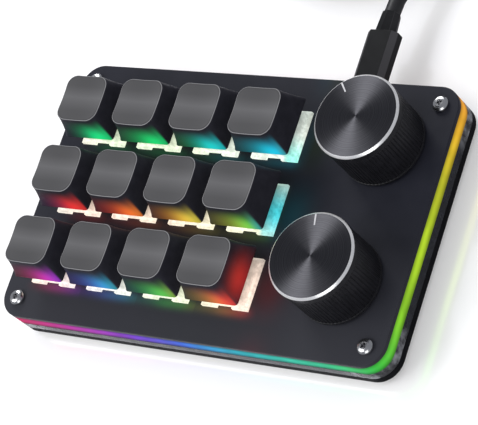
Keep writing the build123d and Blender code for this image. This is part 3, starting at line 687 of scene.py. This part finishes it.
def rounded_square(half, radius):
    """Outline of a square with round corners, from the middle of the right side, anticlockwise."""
    straight = half - radius
    side = [straight * (2 * step / STRAIGHT_STEPS - 1) for step in range(STRAIGHT_STEPS)]
    half_way = STRAIGHT_STEPS // 2
    quarter = [(half, y) for y in side[half_way:]]
    for step in range(CORNER_STEPS + 1):
        angle = math.pi / 2 * step / CORNER_STEPS
        quarter.append((straight + radius * math.cos(angle), straight + radius * math.sin(angle)))
    quarter += [(-x, half) for x in side[1:half_way]]
    points = []
    for corner in range(4):
        cosine, sine = math.cos(corner * math.pi / 2), math.sin(corner * math.pi / 2)
        points += [(cosine * x - sine * y, sine * x + cosine * y) for x, y in quarter]
    return points


# Keycaps: heights are above the rim, and each of base, waist and top is (half width, corner radius)

CAP_RIM = DECK + 7.4
CAP_HEIGHT = 8.7
CAP_ROOF = 1.6
CAP_BASE, CAP_WAIST, CAP_TOP = (9.05, 1.0), (7.9, 2.2), (7.3, 3.6)
CAVITY_ROOF, CAVITY_RIM, CAVITY_CORNER = 5.9, 7.65, 0.35
INNER_BEVEL = 0.15
RIM_ROUND = 0.2
DISH = 0.6
CROWN = 0.6
DISH_RADIUS = (CAP_TOP[0] ** 2 + DISH**2) / (2 * DISH)
EDGE_ROUND = 0.5
EDGE_DEGREES = (18, 36, 54, 72, 90)
EDGE_REACH = 7.4
FLARE_STEPS = 14
TOP_SHARES = (0.97, 0.9, 0.8, 0.65, 0.5, 0.35, 0.2, 0.08)
TOP_SHIFT = 0.4


def through_three(first, middle, last, share):
    """A value that bends smoothly from the first, through the middle one, to the last."""
    bend = 2 * (first + last - 2 * middle)
    return first + (last - first - bend) * share + bend * share * share


def dish_height(x, y):
    return CAP_HEIGHT + DISH_RADIUS - math.sqrt(DISH_RADIUS**2 - x * x - y * y)


def keycap_rings(cx, cy):
    """Rings from the inner roof, down inside, round the rim, up the flared side and in across the dish."""
    rings = []
    full = CAP_HEIGHT + DISH + CROWN

    def put(outline, heights, forward=None):
        """Add a ring, moved forward by a slope that is even from the rim up, or by a given length."""
        points = []
        for (x, y), z in zip(outline, heights):
            move = TOP_SHIFT * max(z - RIM_ROUND, 0.0) / full if forward is None else forward
            points.append((cx + x, cy + y - move, CAP_RIM + z))
        rings.append((points, 0))

    inner = [(CAVITY_ROOF, CAP_HEIGHT - CAP_ROOF), (CAVITY_RIM, INNER_BEVEL), (CAVITY_RIM + INNER_BEVEL, 0.0)]
    for half, z in inner:
        outline = rounded_square(half, CAVITY_CORNER)
        put(outline, [z] * len(outline))
    for inset, z in ((RIM_ROUND, 0.0), (0.3 * RIM_ROUND, 0.3 * RIM_ROUND), (0.0, RIM_ROUND)):
        outline = rounded_square(CAP_BASE[0] - inset, CAP_BASE[1])
        put(outline, [z] * len(outline))

    edge = [dish_height(x, y) - EDGE_ROUND for x, y in rounded_square(*CAP_TOP)]
    for step in range(1, FLARE_STEPS + 1):
        heights = [RIM_ROUND + (z - RIM_ROUND) * step / FLARE_STEPS for z in edge]
        outline = []
        for column, z in enumerate(heights):
            half, radius = (through_three(*sizes, z / full) for sizes in zip(CAP_BASE, CAP_WAIST, CAP_TOP))
            outline.append(rounded_square(half, radius)[column])
        put(outline, heights)

    side_outline = outline
    for degrees in EDGE_DEGREES:
        angle = math.radians(degrees)
        scale = 1 - EDGE_ROUND * (1 - math.cos(angle)) / EDGE_REACH
        outline = [(x * scale, y * scale) for x, y in side_outline]
        drop = EDGE_ROUND * (1 - math.sin(angle))
        put(outline, [dish_height(x, y) - drop for x, y in outline], TOP_SHIFT)

    rim_outline = outline
    for share in TOP_SHARES:
        outline = [(x * share, y * share) for x, y in rim_outline]
        put(outline, [dish_height(x, y) for x, y in outline], TOP_SHIFT)
    return rings


for number, x, y in KEYS:
    materials = [MATERIALS["keycap"]]
    body = f"key_{number:02}"
    cap = build(f"cap_{number:02}", keycap_rings(x, y), materials, body, smooth_angle=50.0)
    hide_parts(f"keycap_{number:02}")


# Dials: heights are above the foot of the knob

KNOB_FOOT = DECK + 1.0
KNOB_HEIGHT = 17.3
KNOB_BORE = 5.0
KNOB_CAVITY = 9.9
KNOB_ROOF = 2.0
FOOT_RADIUS = 12.74
GRIP_RADIUS = 12.62
NECK_RADIUS = 12.5
RIM_RADIUS = 12.8
FACE_RADIUS = 12.0
RIBS = 72
RIB_DEPTH = 0.18
POINTS_PER_RIB = 8
# Each end of a pointer is (reach from the dial's middle, half width)
POINTER_START, POINTER_END = (8.8, 0.2), (12.05, 0.24)
POINTER_RISE = 0.05


def rib_cut(angle):
    """Depth of the groove at an angle: a flat land, then a V."""
    part = angle * RIBS / (2 * math.pi) % 1.0
    return 0.0 if part < 0.5 else RIB_DEPTH * (1 - abs(part - 0.75) / 0.25)


def knob_rings(x, y):
    """Rings from the bore, down inside, out under the foot, up the ribs and in over the bright rim."""
    side, bright, face = 0, 1, 2
    top = KNOB_HEIGHT
    # Each station is (radius, height, material of the band after it, cut)
    profile = [
        (KNOB_BORE, top - KNOB_ROOF, side, None),
        (KNOB_CAVITY, top - KNOB_ROOF, side, None),
        (KNOB_CAVITY, 0.15, side, None),
        (KNOB_CAVITY + 0.15, 0.0, side, None),
        (FOOT_RADIUS - 0.14, 0.0, bright, None),
        (FOOT_RADIUS, 0.14, side, None),
        (FOOT_RADIUS, 0.7, side, None),
        (GRIP_RADIUS - 0.02, 0.8, side, rib_cut),
        (GRIP_RADIUS, 0.95, side, rib_cut),
        (GRIP_RADIUS, top - 3.0, side, rib_cut),
        (NECK_RADIUS, top - 2.85, side, rib_cut),
        (NECK_RADIUS, top - 2.8, bright, None),
        (RIM_RADIUS - 0.08, top - 2.6, side, None),
        (RIM_RADIUS, top - 2.5, side, None),
        (RIM_RADIUS, top - 0.72, side, None),
        (RIM_RADIUS - 0.01, top - 0.68, side, None),
        (RIM_RADIUS - 0.04, top - 0.62, bright, None),
        (RIM_RADIUS - 0.3, top - 0.34, bright, None),
        (RIM_RADIUS - 0.58, top - 0.06, bright, None),
        (FACE_RADIUS + 0.16, top - 0.01, face, None),
        (FACE_RADIUS + 0.1, top, face, None),
        (FACE_RADIUS, top, face, None),
        (8.0, top, face, None),
        (4.0, top, face, None),
        (0.4, top, face, None),
    ]
    count = RIBS * POINTS_PER_RIB
    return [
        (circle(x, y, radius, KNOB_FOOT + z, count, cut), material)
        for radius, z, material, cut in profile
    ]


def pointer_rings(x, y, degrees):
    """A thin painted line, a little wider at the rim."""
    angle = math.radians(degrees)
    along_x, along_y = math.cos(angle), math.sin(angle)
    outline = []
    for (reach, half), hand in ((POINTER_START, -1), (POINTER_START, 1), (POINTER_END, 1), (POINTER_END, -1)):
        aside = hand * half
        outline.append((x + along_x * reach - along_y * aside, y + along_y * reach + along_x * aside))
    top = KNOB_FOOT + KNOB_HEIGHT
    heights = (top - POINTER_RISE, top + POINTER_RISE)
    return [([(corner_x, corner_y, z) for corner_x, corner_y in outline], 0) for z in heights]


for side, (x, y, degrees) in DIALS.items():
    body = f"{side}_knob"
    materials = [MATERIALS["dial_side"], MATERIALS["bright"], dial_top_material(x, y)]
    knob = build(body, knob_rings(x, y), materials, body, closed_start=False, smooth_angle=28.0)
    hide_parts(f"{side}_dial_knob")
    build(f"{side}_pointer", pointer_rings(x, y, degrees), [MATERIALS["white"]], body)


# Screws: a domed head with a rounded edge and a cross recess, on a plain shank

HEAD_RADIUS = 2.35
HEAD_HEIGHT = 1.7
HEAD_FLAT = 0.9
HEAD_FALL = 0.8
GROOVE_RADIUS, GROOVE_WIDTH, GROOVE_DEPTH = 1.5, 0.14, 0.1
CROSS_HALF_WIDTH, CROSS_REACH, CROSS_DEPTH = 0.24, 0.95, 0.4
RECESS_RADIUS = 0.75
SHANK_RADIUS = 1.2
SHANK_LENGTH = 6.8
SHANK_TIP_RADIUS, SHANK_TIP_LENGTH = 0.3, 0.5
SCREW_POINTS = 96
# Each screw's cross is turned by this much more than the one before, in radians
SCREW_TWIST = 0.5


def dome_height(radius):
    """Flat in the middle, falling to the edge, with a fine groove round it."""
    fall = max(radius - HEAD_FLAT, 0.0) / (HEAD_RADIUS - HEAD_FLAT)
    groove = GROOVE_DEPTH * math.exp(-(((radius - GROOVE_RADIUS) / GROOVE_WIDTH) ** 2))
    return HEAD_HEIGHT - HEAD_FALL * fall**2.6 - groove


def in_cross(x, y):
    near, far = sorted((abs(x), abs(y)))
    return near < CROSS_HALF_WIDTH and far < CROSS_REACH


def screw_rings(cx, cy, twist):
    """Rings from the tip up the shank, out under the head, over its edge and in across the dome."""
    tip = DECK - SHANK_LENGTH
    stations = [
        (SHANK_TIP_RADIUS, tip),
        (SHANK_RADIUS, tip + SHANK_TIP_LENGTH),
        (SHANK_RADIUS, DECK),
        (HEAD_RADIUS - 0.08, DECK),
        (HEAD_RADIUS, DECK + 0.08),
    ]
    rings = [(circle(cx, cy, radius, z, SCREW_POINTS), 0) for radius, z in stations]
    radii = [HEAD_RADIUS - 0.02 * step for step in range(5)]
    radii += [2.2 - 0.15 * step for step in range(7)]
    radii += [1.2 - 0.1 * step for step in range(12)]
    for radius in radii:
        points = []
        for x, y, _ in circle(0.0, 0.0, radius, 0.0, SCREW_POINTS):
            turned_x = x * math.cos(twist) + y * math.sin(twist)
            turned_y = y * math.cos(twist) - x * math.sin(twist)
            sink = CROSS_DEPTH if in_cross(turned_x, turned_y) else 0.0
            points.append((cx + x, cy + y, DECK + dome_height(radius) - sink))
        # Within RECESS_RADIUS the head takes the darker metal, painted shade for its recess
        rings.append((points, 1 if radius < RECESS_RADIUS else 0))
    return rings


for number, (x, y) in enumerate(SCREWS, start=1):
    rings = screw_rings(x, y, SCREW_TWIST * number)
    materials = [MATERIALS["steel"], MATERIALS["recess"]]
    screw = build(f"screw_{number}", rings, materials, "base", smooth_angle=40.0)
    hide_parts("top_screws")


# Springs in the switches: a wire helix in each, wound closer at its ends

SPRING_BOTTOM = 9.9
SPRING_LENGTH, PRESSED_LENGTH = 5.7, 1.7
SPRING_RADIUS = 2.0
SPRING_TURNS = 8.5
TURN_STEPS = 12
CLOSE_SHARE = 0.06
WIRE = 0.32
WIRE_SIDES = 6


def helix_mesh(name, x, y):
    radius = SPRING_RADIUS - WIRE / 2
    total = int(SPRING_TURNS * TURN_STEPS)
    points = []
    for step in range(total + 1):
        share = eased = step / total
        if share <= CLOSE_SHARE:
            eased = CLOSE_SHARE / 2 + share / 2
        elif share >= 1 - CLOSE_SHARE:
            eased = (1 - CLOSE_SHARE) / 2 + share / 2
        angle = 2 * math.pi * SPRING_TURNS * share
        z = SPRING_BOTTOM + WIRE / 2 + (SPRING_LENGTH - WIRE) * eased
        for corner in range(WIRE_SIDES):
            lean = 2 * math.pi * corner / WIRE_SIDES
            reach = radius + WIRE / 2 * math.cos(lean)
            place = (x + reach * math.cos(angle), y + reach * math.sin(angle), z + WIRE / 2 * math.sin(lean))
            points.append(tuple(value * MM for value in place))
    faces = []
    for low in range(0, total * WIRE_SIDES, WIRE_SIDES):
        high = low + WIRE_SIDES
        for corner in range(WIRE_SIDES):
            following = (corner + 1) % WIRE_SIDES
            faces.append((low + corner, low + following, high + following, high + corner))
    faces.append(tuple(reversed(range(WIRE_SIDES))))
    faces.append(tuple(range(total * WIRE_SIDES, (total + 1) * WIRE_SIDES)))
    mesh = bpy.data.meshes.new(name)
    mesh.from_pydata(points, [], faces)
    mesh.polygons.foreach_set("use_smooth", [True] * len(mesh.polygons))
    mesh.materials.append(MATERIALS["wire"])
    return mesh


for number, x, y in KEYS:
    name = f"spring_{number:02}"
    spring = bpy.data.objects.new(name, helix_mesh(name, x, y))
    show(spring)
    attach(spring, "base")
    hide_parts("switch_springs")
    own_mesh(spring)


# Floor: plain and pale to the camera, and mid grey to the object, so that it throws little light up

FLOOR_REACH = 4.0

floor_mesh = bpy.data.meshes.new("floor")
floor_corners = [(FLOOR_REACH * x, FLOOR_REACH * y, 0) for x, y in ((-1, -1), (1, -1), (1, 1), (-1, 1))]
floor_mesh.from_pydata(floor_corners, [], [(0, 1, 2, 3)])
floor = bpy.data.objects.new("floor", floor_mesh)
show(floor)
floor_shader = Shader("floor_paint", (0.95, 0.95, 0.955), 0.14, 0.32, Specular_IOR_Level=0.5)
seen = floor_shader.add("ShaderNodeLightPath").outputs["Is Camera Ray"]
floor_shader.set("Base Color", floor_shader.mix(seen, (0.5, 0.5, 0.52), (0.95, 0.95, 0.955)))
floor_shader.glow((1.0, 1.0, 1.0), floor_shader.product(seen, 0.22))
floor_mesh.materials.append(floor_shader.material)


# World: daylight on the object, a dim grey in its reflections, and white to the camera

world = bpy.data.worlds.new("world")
bpy.context.scene.world = world
world.use_nodes = True
world_tree = world.node_tree
path = world_tree.nodes.new("ShaderNodeLightPath")


def background(node, colour, strength=1.0):
    node.inputs["Color"].default_value = (*colour, 1.0)
    node.inputs["Strength"].default_value = strength
    return node.outputs[0]


def for_rays(kind, otherwise, shown):
    """One background for this kind of ray, and the other for all the rest."""
    node = world_tree.nodes.new("ShaderNodeMixShader")
    world_tree.links.new(path.outputs[kind], node.inputs[0])
    world_tree.links.new(otherwise, node.inputs[1])
    world_tree.links.new(shown, node.inputs[2])
    return node.outputs[0]


daylight = background(world_tree.nodes["Background"], (1.0, 1.0, 1.02), 0.85)
mirrored = background(world_tree.nodes.new("ShaderNodeBackground"), (0.28, 0.29, 0.32))
white = background(world_tree.nodes.new("ShaderNodeBackground"), (1.0, 1.0, 1.0))
sky = for_rays("Is Camera Ray", for_rays("Is Glossy Ray", daylight, mirrored), white)
world_tree.links.new(sky, world_tree.nodes["World Output"].inputs["Surface"])


# Lamps: square and soft, each turned to the origin

def lamp(name, place, size, power):
    data = bpy.data.lights.new(name, "AREA")
    data.shape = "SQUARE"
    data.size = size
    data.energy = power
    light = bpy.data.objects.new(name, data)
    show(light)
    light.location = place
    light.rotation_euler = (-Vector(place)).to_track_quat("-Z", "Y").to_euler()


lamp("key_lamp", (-0.67, 1.0, 0.69), 0.6, 9.0)
lamp("left_lamp", (-0.665, -0.45, 0.95), 0.8, 8.0)
lamp("front_lamp", (0.5, -0.9, 0.7), 0.7, 3.0)

bpy.context.scene.view_settings.view_transform = "Standard"
